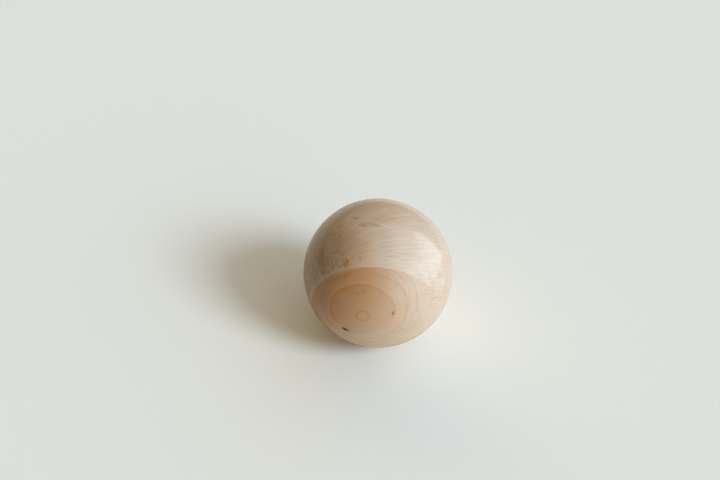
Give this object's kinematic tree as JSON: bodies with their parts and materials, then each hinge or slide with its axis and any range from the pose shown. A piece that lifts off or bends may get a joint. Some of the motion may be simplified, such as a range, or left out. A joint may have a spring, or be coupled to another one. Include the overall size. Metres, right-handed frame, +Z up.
{
  "type": "wooden ball",
  "caption": "Solid turned wooden ball, a plain true sphere of pale lacquered hardwood cut round its pith, for use as a hand, desk or rolling ball.",
  "frame": {"origin": "centre of the ball", "axes": "+Z up as the ball lies at rest, -Y towards the viewer; the wood's pith runs along the ball's own axis from (0.187, 0.971, -0.148) to (-0.187, -0.971, 0.148), so the ring centre faces the viewer"},
  "size_m": [0.06, 0.06, 0.06],
  "materials": {
    "lacquered_wood": "clear satin-gloss lacquer over pale hardwood with faint brown growth rings"
  },
  "bodies": {
    "root": {"ball": "lacquered_wood"}
  },
  "joints": []
}
